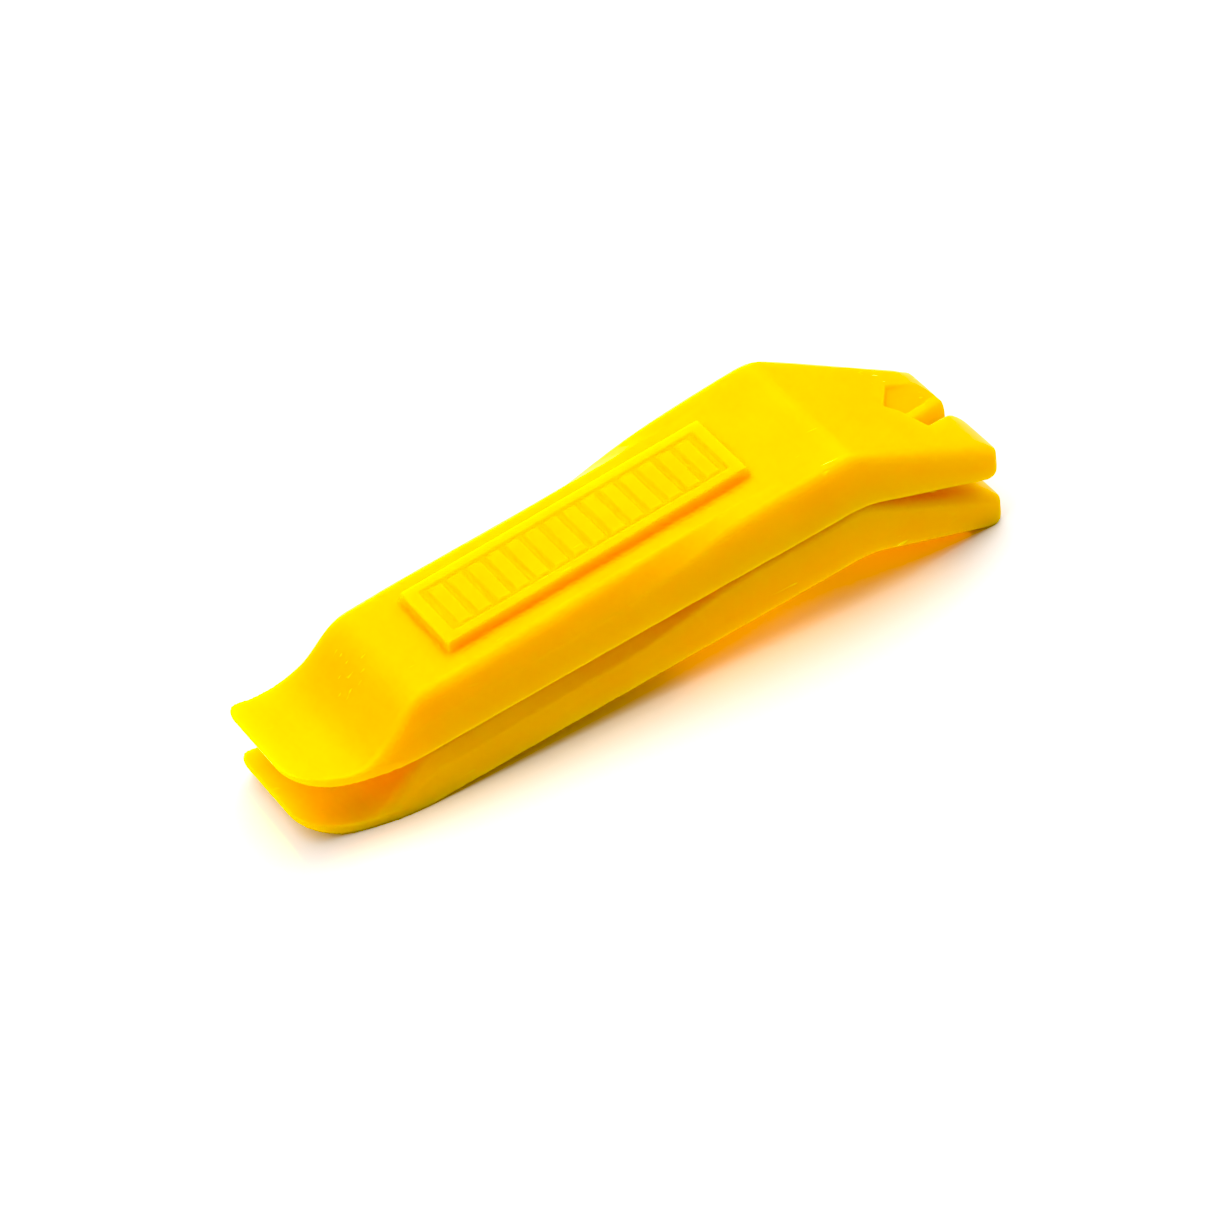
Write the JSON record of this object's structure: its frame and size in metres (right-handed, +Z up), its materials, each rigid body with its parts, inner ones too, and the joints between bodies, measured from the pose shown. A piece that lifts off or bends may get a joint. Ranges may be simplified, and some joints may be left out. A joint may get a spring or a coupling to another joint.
{
  "type": "clip-together pair of bicycle tyre levers",
  "caption": "Clip-together pair of moulded bicycle tyre levers, each with a scooped spoon tip, a flat grip with a raised ribbed plate, and a bent hook end with a spoke slot.",
  "frame": {"origin": "on the table under the middle of the pair's bounding box", "axes": "+X along the levers from the spoon tips to the hook ends, +Y across them, +Z up from the table; the pair lies on the lower lever's tip and hook end"},
  "size_m": [0.1276, 0.0292, 0.0304],
  "materials": {
    "lever_plastic": "smooth satin moulded yellow"
  },
  "bodies": {
    "lower_lever": {"lower_lever": "lever_plastic"},
    "upper_lever": {"upper_lever": "lever_plastic"}
  },
  "joints": [
    {"name": "upper_lever_lift", "type": "slide", "parent": "lower_lever", "child": "upper_lever", "axis": [-0.1226, 0, 0.9925], "range_m": [0, 0.03]}
  ]
}
